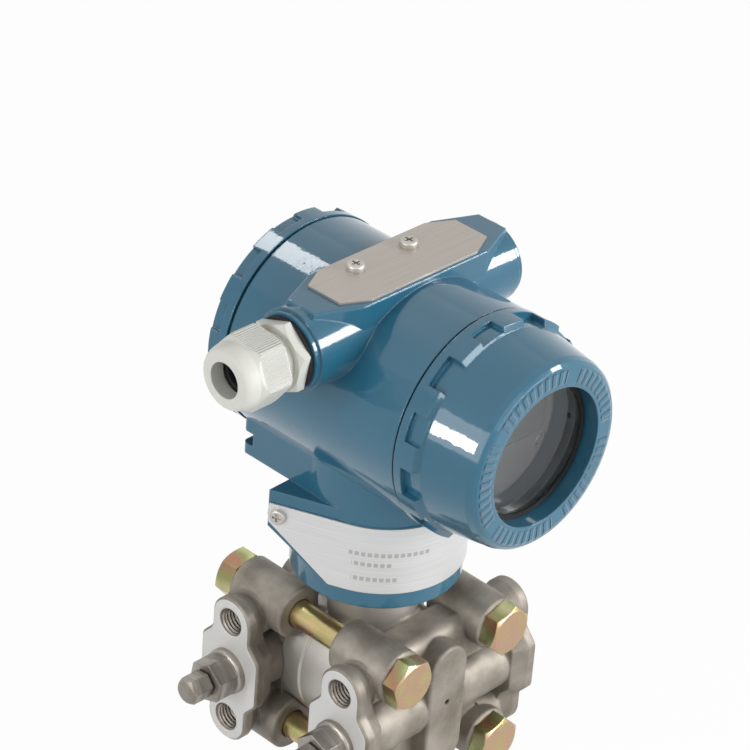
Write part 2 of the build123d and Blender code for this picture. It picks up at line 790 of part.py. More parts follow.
def make_front_cover():
    """Window cover: threaded spigot, grip ring with lugs, tapered body and window opening."""
    joint = -barrel_half_length - seal_gap
    ring_from = joint - ring_rim_length
    ring_to = ring_from - lug_length
    slope_end = ring_to - lug_front_slope
    face = joint - front_cover_depth
    seat = face + window_lip
    glass_back = seat + window_gasket_thickness + glass_thickness + 2 * glass_clearance
    spigot_r = chamber_r - spigot_clearance
    spigot_end = joint + seal_gap + spigot_length
    taper_end = face + front_nose_radius
    nose_bend_r = front_nose_r - 0.25 * front_nose_radius
    nose_turn_r = front_nose_r - 0.6 * front_nose_radius
    outline = [
        (spigot_inner_r, spigot_end), (spigot_r, spigot_end), (spigot_r, joint), (ring_r, joint),
        (ring_r, ring_to), (shoulder_r, slope_end), (front_nose_r, taper_end),
        (nose_bend_r, face + 0.4 * front_nose_radius), (nose_turn_r, face + 0.1 * front_nose_radius),
        (front_nose_r - front_nose_radius, face), (window_r, face), (window_r, seat),
        (glass_r + glass_clearance, seat), (glass_r + glass_clearance, glass_back + retainer_length),
        (spigot_inner_r, glass_back + retainer_length + 1.5),
    ]
    cover = turned_y(outline, 0, barrel_z)
    for cutter in lug_cutters(ring_from, slope_end):
        cover = cover - cutter
    return cover


def make_window_pieces():
    """Gasket, glass and screwed retaining ring of the window, front to back."""
    face = -barrel_half_length - seal_gap - front_cover_depth
    seat = face + window_lip
    glass_front = seat + window_gasket_thickness
    glass_back = glass_front + glass_thickness
    gasket = turned_y([(window_gasket_inner_r, seat), (glass_r, seat), (glass_r, glass_front),
                       (window_gasket_inner_r, glass_front)], 0, barrel_z)
    glass = cylinder_y(glass_r, glass_front, glass_back, 0, barrel_z)
    glass = chamfer(glass.edges().filter_by(GeomType.CIRCLE), 0.5)
    ring_from = glass_back + glass_clearance
    ring_to = ring_from + retainer_length - 0.3
    ring = turned_y([(retainer_inner_r, ring_from), (glass_r, ring_from), (glass_r, ring_to),
                     (retainer_inner_r, ring_to)], 0, barrel_z)
    slots = block((-glass_r - 1, glass_r + 1), (ring_to - 1.5, ring_to + 1), (barrel_z - 1, barrel_z + 1))
    ring = ring - slots
    return {"window_gasket": gasket, "window_glass": glass, "window_retainer": ring}


def make_rear_cover():
    """Blank rear cover: threaded spigot, grip ring with lugs and a domed end."""
    joint = barrel_half_length + seal_gap
    ring_from = joint + ring_rim_length
    ring_to = ring_from + lug_length
    face = joint + rear_cover_depth
    spigot_r = chamber_r - spigot_clearance
    spigot_end = joint - seal_gap - spigot_length
    inner_face = face - rear_wall
    outline = [
        (0, inner_face), (spigot_inner_r - 2, inner_face), (spigot_inner_r, inner_face - 2),
        (spigot_inner_r, spigot_end), (spigot_r, spigot_end), (spigot_r, joint), (ring_r, joint),
        (ring_r, ring_to - lug_front_slope), (shoulder_r, ring_to), (shoulder_r - rear_edge_chamfer, face),
        (0, face),
    ]
    cover = turned_y(outline, 0, barrel_z)
    for cutter in lug_cutters(ring_from, ring_to):
        cover = cover - cutter
    return cover


def make_cover_seal(face_y):
    """Seal ring between the barrel's end and a cover; it stands out of its recess to the cover."""
    outward = math.copysign(1.0, face_y)
    low = face_y - outward * seal_recess
    high = face_y + outward * seal_gap
    ring = turned_y([(seal_inner_r, low), (seal_outer_r - 0.1, low), (seal_outer_r - 0.1, high),
                     (seal_inner_r, high)], 0, barrel_z)
    return fillet(ring.edges().filter_by(GeomType.CIRCLE), 0.35)


def display_levels():
    """Places along Y in the front compartment: pillar ends, board and display."""
    pillar_end = -divider_front_y - pillar_length
    board_front = pillar_end - board_thickness
    return pillar_end, board_front


def make_board_pillars():
    """Three hexagonal pillars that carry the board."""
    pillar_end, _ = display_levels()
    pillars = []
    for x, z in pillar_places():
        pillars.append(hexagon_y(pillar_flats, pillar_end, -divider_front_y, x, z))
    return Compound(pillars)


def make_electronics_board():
    """Round circuit board with its shielding can at the back."""
    pillar_end, board_front = display_levels()
    board = cylinder_y(board_r, board_front, pillar_end, 0, barrel_z)
    for x, z in pillar_places():
        board = board - cylinder_y(small_screw_r + thread_clearance, board_front, pillar_end, x, z)
    can_back = -divider_front_y - can_gap
    can = block((-can_half_width, can_half_width), (pillar_end, can_back),
                (barrel_z - can_half_height, barrel_z + can_half_height))
    return board + fillet(can.edges().filter_by(Axis.Y), 2.0)


def make_display_module():
    """Round display carrier: a cup with a window for the panel in its front."""
    _, board_front = display_levels()
    front = -display_front_y
    cup = cylinder_y(display_r, front, board_front, 0, barrel_z)
    cup = fillet(cup.edges().sort_by(Axis.Y)[0], 1.5)
    hollow_from = front + display_wall + panel_thickness
    hollow = cylinder_y(display_r - display_wall, hollow_from, board_front, 0, barrel_z)
    cup = cup - hollow
    for x, z in pillar_places():
        seat = front + 3 * display_wall
        cup = cup + cylinder_y(small_screw_head_r + 1, board_front, seat, x, z) & cylinder_y(
            display_r, front, board_front, 0, barrel_z)
    for x, z in pillar_places():
        cup = cup - cylinder_y(small_screw_head_r + 0.4, front - 1, front + display_wall, x, z)
        cup = cup - cylinder_y(small_screw_r + thread_clearance, front, board_front, x, z)
    middle_z = barrel_z + display_window_z
    half_height = display_window_height / 2
    half_width = display_window_width / 2
    pocket = block((-half_width, half_width), (front - 1, front + panel_thickness + 0.3),
                   (middle_z - half_height, middle_z + half_height))
    return cup - fillet(pocket.edges().filter_by(Axis.Y), 2.0)


def make_display_panel():
    """Flat panel in the window of the display carrier."""
    front = -display_front_y
    middle_z = barrel_z + display_window_z
    half_height = display_window_height / 2 - 0.2
    half_width = display_window_width / 2 - 0.2
    panel = block((-half_width, half_width), (front + 0.3, front + 0.3 + panel_thickness),
                  (middle_z - half_height, middle_z + half_height))
    return fillet(panel.edges().filter_by(Axis.Y), 1.8)


def make_display_screws():
    """Three long screws that hold the display carrier and the board on the pillars."""
    pillar_end, _ = display_levels()
    seat = -display_front_y + display_wall
    length = pillar_end - seat
    screws = []
    for x, z in pillar_places():
        screw = pan_head_screw(small_screw_r, length, small_screw_head_r, small_screw_head_height)
        screws.append(Pos(x, seat, z) * Rot(90, 0, 0) * screw)
    return Compound(screws)


def terminal_places():
    """X places of the terminals."""
    middle = (terminal_count - 1) / 2
    return [(index - middle) * terminal_pitch for index in range(terminal_count)]


def terminal_levels():
    """Places along Y of the terminal block: its back, the floor of its pockets and its front."""
    back = -divider_rear_y + terminal_boss_length
    floor = back + terminal_base
    return back, floor, floor + terminal_barrier_height


def make_terminal_block():
    """Moulded block with a pocket for each terminal, between barriers."""
    back, floor, front = terminal_levels()
    z_range = (terminal_z - terminal_half_height, terminal_z + terminal_half_height)
    base = block((-terminal_half_width, terminal_half_width), (back, floor), z_range)
    base = fillet(base.edges().filter_by(Axis.Y), 3.0)
    side = terminal_count * terminal_pitch / 2
    shape = base
    for index in range(terminal_count + 1):
        x = -side + index * terminal_pitch
        half = terminal_barrier / 2
        shape = shape + block((x - half, x + half), (floor, front), z_range)
    rail = block((-side, side), (floor, front), (z_range[0], z_range[0] + terminal_barrier))
    shape = shape + rail
    for x in terminal_places():
        shape = shape - cylinder_y(terminal_screw_r + thread_clearance, back + 1, floor, x, terminal_z)
    for sign in (1, -1):
        x = sign * terminal_fixing_x
        recess = floor - terminal_fixing_recess
        shape = shape - cylinder_y(small_screw_head_r + 0.4, recess, front + 1, x, terminal_z)
        shape = shape - cylinder_y(small_screw_r + thread_clearance, back, floor, x, terminal_z)
    return shape


def make_terminal_screws():
    """Terminal screws, each with its square clamping washer."""
    _, floor, _ = terminal_levels()
    seat = floor + terminal_washer_thickness
    half = terminal_washer_half
    screws = []
    for x in terminal_places():
        plate = block((x - half, x + half), (floor, seat), (terminal_z - half, terminal_z + half))
        screw = pan_head_screw(terminal_screw_r, terminal_screw_length, terminal_screw_head_r,
                               terminal_screw_head_height)
        screws.append(plate + Pos(x, seat, terminal_z) * Rot(-90, 0, 0) * screw)
    return Compound(screws)


def make_terminal_fixings():
    """Two screws that hold the terminal block on its bosses."""
    _, floor, _ = terminal_levels()
    seat = floor - terminal_fixing_recess
    screws = []
    for sign in (1, -1):
        screw = pan_head_screw(small_screw_r, small_screw_length, small_screw_head_r,
                               small_screw_head_height)
        screws.append(Pos(sign * terminal_fixing_x, seat, terminal_z) * Rot(-90, 0, 0) * screw)
    return Compound(screws)


def make_earth_screw():
    """Internal earth screw on its boss."""
    seat = -divider_rear_y + earth_boss_length
    screw = pan_head_screw(terminal_screw_r, terminal_screw_length, terminal_screw_head_r,
                           terminal_screw_head_height)
    return Pos(earth_x, seat, earth_z) * Rot(-90, 0, 0) * screw


def make_top_nameplate():
    """Bare plate on the platform, with its two screw holes."""
    plate = extrude(octagon(plate_half_length, plate_half_width, plate_cut_x, plate_cut_y), plate_thickness)
    plate = Pos(0, 0, platform_z) * plate
    top = platform_z + plate_thickness
    for x in (plate_screw_left_x, plate_screw_right_x):
        plate = plate - cylinder_z(plate_screw_r + 0.3, platform_z, top, x, plate_screw_y)
    return plate


def make_nameplate_screws():
    """Two pan-head screws of the top plate."""
    screws = []
    for x in (plate_screw_left_x, plate_screw_right_x):
        screw = pan_head_screw(plate_screw_r, plate_screw_length, plate_screw_head_r, plate_screw_head_height)
        screws.append(Pos(x, plate_screw_y, platform_z + plate_thickness) * screw)
    return Compound(screws)


def make_adjuster(side):
    """Sprung adjuster pin: a flat head in the counterbore over a thinner shank."""
    x = side * adjuster_x
    under = platform_z - adjuster_head_height
    bottom = platform_z - adjuster_bore_depth + adjuster_travel + adjuster_bottom_gap
    head = cylinder_z(adjuster_head_r, under, platform_z, x, adjuster_y)
    head = chamfer(head.edges().sort_by(Axis.Z)[-1], adjuster_chamfer)
    shank = cylinder_z(adjuster_r, bottom, under, x, adjuster_y)
    half = adjuster_slot_width / 2
    slot = block((x - adjuster_head_r, x + adjuster_head_r), (adjuster_y - half, adjuster_y + half),
                 (platform_z - adjuster_slot_depth, platform_z + 1))
    return head + shank - slot


def gland_x(distance):
    """X place of a gland section at a distance outside the end of the tube."""
    return -tube_left_x - distance


def make_gland_washer():
    """Flat sealing washer under the gland."""
    return turned_x([(gland_x(0), conduit_r + 0.3), (gland_x(0), gland_washer_r),
                     (gland_x(gland_washer_thickness), gland_washer_r),
                     (gland_x(gland_washer_thickness), conduit_r + 0.3)], 0, tube_z)


def make_gland_body():
    """Gland body: thread in the tube, hexagon and the threaded neck with its seat for the seal."""
    hex_from = gland_washer_thickness
    hex_to = hex_from + gland_hex_length
    spigot_r = conduit_r - thread_clearance
    spigot = cylinder_x(spigot_r, gland_x(hex_from), gland_x(-gland_spigot_length), 0, tube_z)
    grip = hexagon_x(gland_flats, gland_x(hex_to), gland_x(hex_from), 0, tube_z, gland_hex_turn_deg)
    corner = gland_flats / math.sqrt(3)
    bevel = corner - gland_flats / 2
    outline = [(gland_x(hex_from), 0), (gland_x(hex_from), corner + 1),
               (gland_x(hex_to - bevel), corner + 0.3), (gland_x(hex_to), corner - bevel),
               (gland_x(hex_to), 0)]
    rounding = turned_x(outline, 0, tube_z)
    neck = cylinder_x(gland_neck_r, gland_x(gland_neck_end), gland_x(hex_to), 0, tube_z)
    body = spigot + (grip & rounding) + neck
    seat = gland_neck_end - gland_finger_length
    body = body - cylinder_x(gland_bore_r, gland_x(gland_neck_end), gland_x(-gland_spigot_length), 0, tube_z)
    body = body - cylinder_x(gland_finger_bore_r, gland_x(gland_neck_end), gland_x(seat), 0, tube_z)
    for index in range(4):
        finger_slot = block((gland_x(gland_neck_end), gland_x(seat + 1)), (-0.4, 0.4), (0, 2 * gland_neck_r))
        body = body - Pos(0, 0, tube_z) * Rot(45 + 90 * index, 0, 0) * finger_slot
    return body


def make_gland_seal():
    """Rubber bush in the gland, tapered where the nut presses on it."""
    start = gland_neck_end - gland_finger_length
    slope = (gland_nut_cavity_r - gland_mouth_r) / (gland_taper_end - gland_taper_start)
    end = gland_taper_end - 1.0
    end_r = gland_mouth_r + slope * (gland_taper_end - end) - 2 * gland_seal_gap
    bend = end - (gland_seal_outer_r - end_r) / slope
    outline = [(gland_x(start), gland_seal_r), (gland_x(start), gland_seal_outer_r),
               (gland_x(bend), gland_seal_outer_r), (gland_x(end), end_r), (gland_x(end), gland_seal_r)]
    return turned_x(outline, 0, tube_z)


def make_gland_nut():
    """Gland nut: a hexagon that turns into a dome round the cable mouth."""
    corner = gland_nut_flats / math.sqrt(3)
    span = gland_nut_end - gland_nut_hex_end
    dome = [(gland_x(gland_nut_start), 0), (gland_x(gland_nut_start), corner - 0.8),
            (gland_x(gland_nut_start + 1.2), corner + 0.2), (gland_x(gland_nut_hex_end - 1.5), corner + 0.2)]
    steps = 8
    for index in range(1, steps + 1):
        angle = math.pi / 2 * index / steps
        radius = gland_mouth_rim_r + (gland_nut_flats / 2 - gland_mouth_rim_r) * math.cos(angle)
        dome.append((gland_x(gland_nut_hex_end + span * math.sin(angle)), radius))
    dome.append((gland_x(gland_nut_end), 0))
    start = gland_x(gland_nut_start)
    end = gland_x(gland_nut_end)
    outside = hexagon_x(gland_nut_flats, end, start, 0, tube_z, gland_nut_turn_deg)
    outside = outside & turned_x(dome, 0, tube_z)
    inside = [(start, 0), (start, gland_nut_cavity_r), (gland_x(gland_taper_start), gland_nut_cavity_r),
              (gland_x(gland_taper_end), gland_mouth_r), (end, gland_mouth_r), (end, 0)]
    return outside - turned_x(inside, 0, tube_z)


def make_conduit_plug():
    """Plug with a hexagon socket, screwed into the +X conduit entry."""
    face = tube_right_x - plug_recess
    plug = cylinder_x(conduit_r - thread_clearance, face - plug_length, face, 0, tube_z)
    plug = chamfer(plug.edges().filter_by(GeomType.CIRCLE).sort_by(Axis.X)[-1], 0.8)
    return plug - hexagon_x(plug_socket_flats, face - plug_socket_depth, face, 0, tube_z)


def mirrored(shape):
    """The same piece on the rear flange."""
    return mirror(shape, Plane.XZ)


def all_pieces():
    """Every piece by its name, in the drawing's own place."""
    front_flange = make_front_flange()
    vent_body = make_front_vent_body()
    vent_stem = make_front_vent_stem()
    vent_ball = make_front_vent_ball()
    process_seal = make_front_process_seal()
    diaphragm = make_front_diaphragm()
    pieces = {
        "electronics_housing": make_electronics_housing(),
        "sensor_module": make_sensor_module(),
        "front_flange": front_flange,
        "rear_flange": mirrored(front_flange),
        "front_process_seal": process_seal,
        "rear_process_seal": mirrored(process_seal),
        "front_diaphragm": diaphragm,
        "rear_diaphragm": mirrored(diaphragm),
        "flange_bolts": make_flange_bolts(),
        "flange_nuts": make_flange_nuts(),
        "front_vent_body": vent_body,
        "rear_vent_body": mirrored(vent_body),
        "front_vent_stem": vent_stem,
        "rear_vent_stem": mirrored(vent_stem),
        "front_vent_ball": vent_ball,
        "rear_vent_ball": mirrored(vent_ball),
        "front_cover": make_front_cover(),
        "front_cover_seal": make_cover_seal(-barrel_half_length),
        "rear_cover": make_rear_cover(),
        "rear_cover_seal": make_cover_seal(barrel_half_length),
        "electronics_board": make_electronics_board(),
        "board_pillars": make_board_pillars(),
        "display_module": make_display_module(),
        "display_panel": make_display_panel(),
        "display_screws": make_display_screws(),
        "terminal_block": make_terminal_block(),
        "terminal_screws": make_terminal_screws(),
        "terminal_fixings": make_terminal_fixings(),
        "earth_screw": make_earth_screw(),
        "top_nameplate": make_top_nameplate(),
        "nameplate_screws": make_nameplate_screws(),
        "span_adjuster": make_adjuster(-1),
        "zero_adjuster": make_adjuster(1),
        "neck_tag": make_neck_tag(),
        "tag_screws": make_tag_screws(),
        "gland_washer": make_gland_washer(),
        "gland_body": make_gland_body(),
        "gland_seal": make_gland_seal(),
        "gland_nut": make_gland_nut(),
        "conduit_plug": make_conduit_plug(),
    }
    pieces.update(make_window_pieces())
    return pieces


def main():
    """Write each piece to its own file, moved to the origin of the process connection."""
    os.makedirs("parts", exist_ok=True)
    for name, shape in all_pieces().items():
        export_step(Pos(-connection_x, 0, 0) * shape, os.path.join("parts", name + ".step"))


main()
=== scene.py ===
import json
import math

import bpy
import numpy as np
from mathutils import Matrix, Vector


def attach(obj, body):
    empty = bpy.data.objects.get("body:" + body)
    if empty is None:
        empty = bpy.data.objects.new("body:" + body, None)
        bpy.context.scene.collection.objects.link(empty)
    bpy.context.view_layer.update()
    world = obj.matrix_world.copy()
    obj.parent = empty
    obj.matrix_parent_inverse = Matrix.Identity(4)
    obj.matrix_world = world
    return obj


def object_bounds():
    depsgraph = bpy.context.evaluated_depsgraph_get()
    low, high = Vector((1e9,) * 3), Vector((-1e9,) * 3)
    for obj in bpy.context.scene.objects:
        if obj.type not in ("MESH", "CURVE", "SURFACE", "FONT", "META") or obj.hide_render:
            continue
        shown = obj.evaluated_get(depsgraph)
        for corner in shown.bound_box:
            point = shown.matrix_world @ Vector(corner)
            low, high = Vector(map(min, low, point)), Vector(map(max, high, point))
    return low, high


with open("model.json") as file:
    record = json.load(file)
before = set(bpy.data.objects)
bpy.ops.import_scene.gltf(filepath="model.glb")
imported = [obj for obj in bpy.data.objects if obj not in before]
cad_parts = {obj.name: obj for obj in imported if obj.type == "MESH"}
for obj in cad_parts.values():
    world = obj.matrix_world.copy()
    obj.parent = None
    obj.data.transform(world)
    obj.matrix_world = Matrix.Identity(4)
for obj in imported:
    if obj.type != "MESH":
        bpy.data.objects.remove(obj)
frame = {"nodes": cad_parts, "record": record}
cad_box = [list(corner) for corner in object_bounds()]

# Places and sizes of the frame's pieces, in metres
neck_x = -0.0429
tube_z = 0.1467
barrel_z = 0.1207
platform_z = 0.1619
pad_face = 0.0429
bolt_x = 0.0242
bolt_z = 0.0243
bolt_face_y = -0.0441
bolt_face_depth = 0.0006
bolt_flats_r = 0.0078
port_y = 0.027
tapped_z = 0.02065
process_hole_r = 0.0047
vent_side_hole_r = 0.00495
tag_r = 0.0305
bezel_face_y = -0.0705
floor_z = cad_box[0][2]

# Sheet steel above this height is the top plate, and below it the neck tag and the diaphragms
plate_from_z = platform_z - 0.02

# Threads of the tapped holes, measured from the pad's face
thread_start = 0.0005
thread_end = 0.0116
thread_pitch = 0.0014
thread_depth = 0.0006
thread_wall_gap = 0.00002
thread_rows_per_turn = 8
thread_steps = 40

# Plain strokes in groups round the window cover's face, between two radii
bezel_marks = (0.0269, 0.0313)
bezel_stroke_count = 54.0
bezel_group_count = 5.0
bezel_stroke_height = 0.001

# Ribs of the gland nut, between two places along X
gland_nut_ribs = (-0.1137, -0.1036)
gland_nut_rib_count = 84.0
gland_nut_rib_height = 0.00013

# Plain dashes of the tag: height of each row, and where it starts and ends round the neck
tag_rows = ((0.0657, -0.0346, -0.0069), (0.0617, -0.0335, -0.0196), (0.0557, -0.0335, -0.018))
tag_row_half_height = 0.0007
tag_dash_pitch = 0.0022
tag_dash_strength = 0.55

# Studio
lamp_aim_z = 0.08
world_light = 0.12
floor_half = 6.0
floor_white_share = 0.97

# Camera: turned about the neck axis, then set back so that the neck sits where the photograph has it
camera_azimuth = 47.51
camera_elevation = 31.54
camera_roll = 4.27
camera_offset = Vector((-0.00243, -0.10047, -1.16125))
camera_lens = 156.76
camera_sensor = 36.0


def new_material(name):
    """New material; returns it with its node tree and its Principled shader."""
    material = bpy.data.materials.new(name)
    material.use_nodes = True
    tree = material.node_tree
    return material, tree, tree.nodes["Principled BSDF"]


def link(tree, source, target):
    tree.links.new(source, target)


def node(tree, kind, **settings):
    """New shader node with its settings and the values of its input sockets."""
    made = tree.nodes.new(kind)
    for key, value in settings.items():
        if key.startswith("in_"):
            made.inputs[key[3:].replace("_", " ")].default_value = value
        else:
            setattr(made, key, value)
    return made


def new_group(name, inputs, outputs):
    """Node group with named sockets: (kind, name, start value) for inputs, (kind, name) for outputs."""
    group = bpy.data.node_groups.new(name, "ShaderNodeTree")
    for kind, label, value in inputs:
        socket = group.interface.new_socket(label, in_out="INPUT", socket_type=kind)
        if value is not None:
            socket.default_value = value
    for kind, label in outputs:
        group.interface.new_socket(label, in_out="OUTPUT", socket_type=kind)
    return group, group.nodes.new("NodeGroupInput"), group.nodes.new("NodeGroupOutput")


def grain_group():
    """Even grain: fine noise mixed with coarse noise, as a height."""
    group, entry, leave = new_group(
        "grain",
        [("NodeSocketVector", "Vector", None), ("NodeSocketFloat", "Fine", 1500.0),
         ("NodeSocketFloat", "Coarse", 200.0), ("NodeSocketFloat", "Share", 0.5)],
        [("NodeSocketFloat", "Height")])
    fine = node(group, "ShaderNodeTexNoise", in_Detail=3.0, in_Roughness=0.6)
    coarse = node(group, "ShaderNodeTexNoise", in_Detail=2.0, in_Roughness=0.5)
    mix = node(group, "ShaderNodeMix", data_type="FLOAT")
    link(group, entry.outputs["Vector"], fine.inputs["Vector"])
    link(group, entry.outputs["Vector"], coarse.inputs["Vector"])
    link(group, entry.outputs["Fine"], fine.inputs["Scale"])
    link(group, entry.outputs["Coarse"], coarse.inputs["Scale"])
    link(group, entry.outputs["Share"], mix.inputs["Factor"])
    link(group, fine.outputs["Fac"], mix.inputs["A"])
    link(group, coarse.outputs["Fac"], mix.inputs["B"])
    link(group, mix.outputs["Result"], leave.inputs["Height"])
    return group


def wander_group():
    """Slow change between two colours and between two roughnesses."""
    group, entry, leave = new_group(
        "wander",
        [("NodeSocketVector", "Vector", None), ("NodeSocketColor", "First", (0.5, 0.5, 0.5, 1)),
         ("NodeSocketColor", "Second", (0.4, 0.4, 0.4, 1)), ("NodeSocketFloat", "Scale", 40.0),
         ("NodeSocketFloat", "Smooth", 0.2), ("NodeSocketFloat", "Rough", 0.3)],
        [("NodeSocketColor", "Color"), ("NodeSocketFloat", "Roughness")])
    noise = node(group, "ShaderNodeTexNoise", in_Detail=4.0, in_Roughness=0.55)
    spread = node(group, "ShaderNodeMapRange", in_From_Min=0.32, in_From_Max=0.68)
    tint = node(group, "ShaderNodeMix", data_type="RGBA")
    gloss = node(group, "ShaderNodeMix", data_type="FLOAT")
    link(group, entry.outputs["Vector"], noise.inputs["Vector"])
    link(group, entry.outputs["Scale"], noise.inputs["Scale"])
    link(group, noise.outputs["Fac"], spread.inputs["Value"])
    link(group, spread.outputs["Result"], tint.inputs["Factor"])
    link(group, spread.outputs["Result"], gloss.inputs["Factor"])
    link(group, entry.outputs["First"], tint.inputs[6])
    link(group, entry.outputs["Second"], tint.inputs[7])
    link(group, entry.outputs["Smooth"], gloss.inputs["A"])
    link(group, entry.outputs["Rough"], gloss.inputs["B"])
    link(group, tint.outputs[2], leave.inputs["Color"])
    link(group, gloss.outputs["Result"], leave.inputs["Roughness"])
    return group


GROUPS = {"grain": grain_group(), "wander": wander_group()}


def placed_group(tree, name, **values):
    """One of the shared groups, with its own values."""
    made = tree.nodes.new("ShaderNodeGroup")
    made.node_tree = GROUPS[name]
    for label, value in values.items():
        made.inputs[label].default_value = value
    return made


def object_place(tree, stretch=(1, 1, 1)):
    """Object coordinates, stretched along the axes."""
    coordinates = tree.nodes.new("ShaderNodeTexCoord")
    mapping = node(tree, "ShaderNodeMapping", in_Scale=stretch)
    link(tree, coordinates.outputs["Object"], mapping.inputs["Vector"])
    return mapping.outputs["Vector"]


def maths(tree, operation, first, second=None):
    """Maths node on sockets or plain numbers; returns its output."""
    made = node(tree, "ShaderNodeMath", operation=operation)
    for index, value in enumerate((first, second)):
        if value is None:
            continue
        if isinstance(value, (int, float)):
            made.inputs[index].default_value = value
        else:
            link(tree, value, made.inputs[index])
    return made.outputs[0]


def between(tree, value, low, high, soft):
    """One where the value lies between low and high, fading over soft outside them."""
    middle = (low + high) / 2
    reach = (high - low) / 2
    away = maths(tree, "ABSOLUTE", maths(tree, "SUBTRACT", value, middle))
    spread = node(tree, "ShaderNodeMapRange", in_From_Min=reach, in_From_Max=reach + soft,
                  in_To_Min=1.0, in_To_Max=0.0)
    link(tree, away, spread.inputs["Value"])
    return spread.outputs["Result"]


def object_axes(tree):
    """X, Y and Z of the object coordinates."""
    coordinates = tree.nodes.new("ShaderNodeTexCoord")
    split = tree.nodes.new("ShaderNodeSeparateXYZ")
    link(tree, coordinates.outputs["Object"], split.inputs["Vector"])
    return split.outputs[0], split.outputs[1], split.outputs[2]


def round_axis(tree, across, up):
    """Distance from an axis, and the place round it as a share of a full turn."""
    radius = maths(tree, "SQRT", maths(tree, "ADD", maths(tree, "MULTIPLY", across, across),
                                       maths(tree, "MULTIPLY", up, up)))
    turn = maths(tree, "DIVIDE", maths(tree, "ARCTAN2", up, across), 2 * math.pi)
    return radius, turn


def colour_mix(tree, share, first, second, **settings):
    """Colour that goes from the first to the second with the share; each is a socket or a plain colour."""
    made = node(tree, "ShaderNodeMix", data_type="RGBA", **settings)
    link(tree, share, made.inputs["Factor"])
    for slot, colour in ((6, first), (7, second)):
        if isinstance(colour, tuple):
            made.inputs[slot].default_value = (*colour, 1)
        else:
            link(tree, colour, made.inputs[slot])
    return made.outputs[2]


def tint_ramp(tree, value, stops):
    """Colour ramp over a value from (position, colour) stops."""
    ramp = tree.nodes.new("ShaderNodeValToRGB")
    while len(ramp.color_ramp.elements) < len(stops):
        ramp.color_ramp.elements.new(0.5)
    for element, (position, colour) in zip(ramp.color_ramp.elements, stops):
        element.position = position
        element.color = (*colour, 1)
    link(tree, value, ramp.inputs["Fac"])
    return ramp.outputs["Color"]


def relief(tree, shader, normal, height, depth):
    """Second bump on top of a surface's own one; returns the normal of both."""
    raised = node(tree, "ShaderNodeBump", in_Strength=1.0, in_Distance=depth)
    link(tree, height, raised.inputs["Height"])
    link(tree, normal, raised.inputs["Normal"])
    link(tree, raised.outputs["Normal"], shader.inputs["Normal"])
    return raised.outputs["Normal"]


def finish_surface(tree, shader, place, colours, roughness, wander_scale, grain, edge=0.0004):
    """Colours and roughness that wander, a bump of grain and edges rounded for the light.

    grain is (fine scale, coarse scale, share of the coarse one, depth in metres). Returns the colour and the
    normal."""
    wander = placed_group(tree, "wander", First=(*colours[0], 1), Second=(*colours[1], 1),
                          Scale=wander_scale, Smooth=roughness[0], Rough=roughness[1])
    link(tree, place, wander.inputs["Vector"])
    link(tree, wander.outputs["Color"], shader.inputs["Base Color"])
    link(tree, wander.outputs["Roughness"], shader.inputs["Roughness"])
    surface = placed_group(tree, "grain", Fine=grain[0], Coarse=grain[1], Share=grain[2])
    link(tree, place, surface.inputs["Vector"])
    bump = node(tree, "ShaderNodeBump", in_Strength=1.0, in_Distance=grain[3])
    link(tree, surface.outputs["Height"], bump.inputs["Height"])
    if edge:
        rounding = node(tree, "ShaderNodeBevel", samples=4, in_Radius=edge)
        link(tree, rounding.outputs["Normal"], bump.inputs["Normal"])
    link(tree, bump.outputs["Normal"], shader.inputs["Normal"])
    return wander.outputs["Color"], bump.outputs["Normal"]


def blue_enamel():
    """Gloss enamel; plain raised strokes stand in a ring on the window cover's face."""
    material, tree, shader = new_material("blue_enamel")
    place = object_place(tree)
    _, normal = finish_surface(tree, shader, place, ((0.018, 0.12, 0.196), (0.022, 0.13, 0.212)),
                               (0.3, 0.36), 25.0, (900.0, 260.0, 0.85, 0.00005), edge=0.0007)
    x, y, z = object_axes(tree)
    across = maths(tree, "SUBTRACT", x, neck_x)
    up = maths(tree, "SUBTRACT", z, barrel_z)
    radius, turn = round_axis(tree, across, up)
    step = maths(tree, "FRACT", maths(tree, "MULTIPLY", turn, bezel_stroke_count))
    stroke = between(tree, step, 0.3, 0.7, 0.16)
    group_step = maths(tree, "FRACT", maths(tree, "MULTIPLY", turn, bezel_group_count))
    group = between(tree, group_step, 0.08, 0.92, 0.01)
    ring = between(tree, radius, *bezel_marks, 0.0005)
    face = maths(tree, "LESS_THAN", y, bezel_face_y)
    marks = maths(tree, "MULTIPLY", maths(tree, "MULTIPLY", stroke, group),
                  maths(tree, "MULTIPLY", ring, face))
    raised = relief(tree, shader, normal, marks, bezel_stroke_height)
    link(tree, raised, shader.inputs["Coat Normal"])
    shader.inputs["Specular IOR Level"].default_value = 0.12
    shader.inputs["Coat Weight"].default_value = 1.0
    shader.inputs["Coat Roughness"].default_value = 0.05
    return material


def cast_steel():
    """Blasted casting, blotchy between warm grey and brown; its machined pad faces are an even light grey."""
    material, tree, shader = new_material("cast_steel")
    place = object_place(tree)
    cast_colour, _ = finish_surface(tree, shader, place, ((0.345, 0.312, 0.268), (0.175, 0.153, 0.122)),
                                    (0.45, 0.58), 70.0, (2400.0, 500.0, 0.45, 0.00016), edge=0.0012)
    x = object_axes(tree)[0]
    from_neck = maths(tree, "ABSOLUTE", maths(tree, "SUBTRACT", x, neck_x))
    machined = maths(tree, "GREATER_THAN", from_neck, pad_face - 0.00005)
    tint = colour_mix(tree, machined, cast_colour, (0.64, 0.635, 0.62))
    link(tree, tint, shader.inputs["Base Color"])
    shader.inputs["Metallic"].default_value = 0.45
    return material


